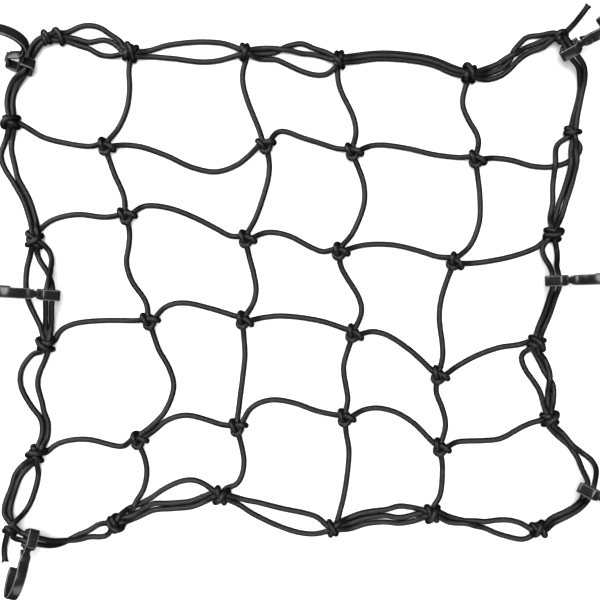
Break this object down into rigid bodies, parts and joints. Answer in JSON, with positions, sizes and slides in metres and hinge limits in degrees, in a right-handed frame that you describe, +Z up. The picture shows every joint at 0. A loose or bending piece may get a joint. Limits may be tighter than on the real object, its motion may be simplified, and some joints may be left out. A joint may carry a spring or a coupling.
{
  "type": "cargo net",
  "caption": "Stretchy knotted cord net for tying down a load, square mesh with a bundled cord border and moulded clip-on hooks round its edge.",
  "frame": {"origin": "middle of the bounding box, on the floor that the net lies on", "axes": "+Z up from the floor, +X to the net's right and +Y to its far side, along the rows and columns of its mesh"},
  "size_m": [0.4924, 0.4442, 0.0553],
  "materials": {
    "cord": "braided woven cover, matt with a faint sheen",
    "hook_plastic": "satin black moulded plastic"
  },
  "bodies": {
    "root": {"hook_bottom_left": "hook_plastic", "hook_bottom_right": "hook_plastic", "hook_mid_left": "hook_plastic", "hook_mid_right": "hook_plastic", "hook_top_left": "hook_plastic", "hook_top_right": "hook_plastic", "net": "cord"}
  },
  "joints": []
}
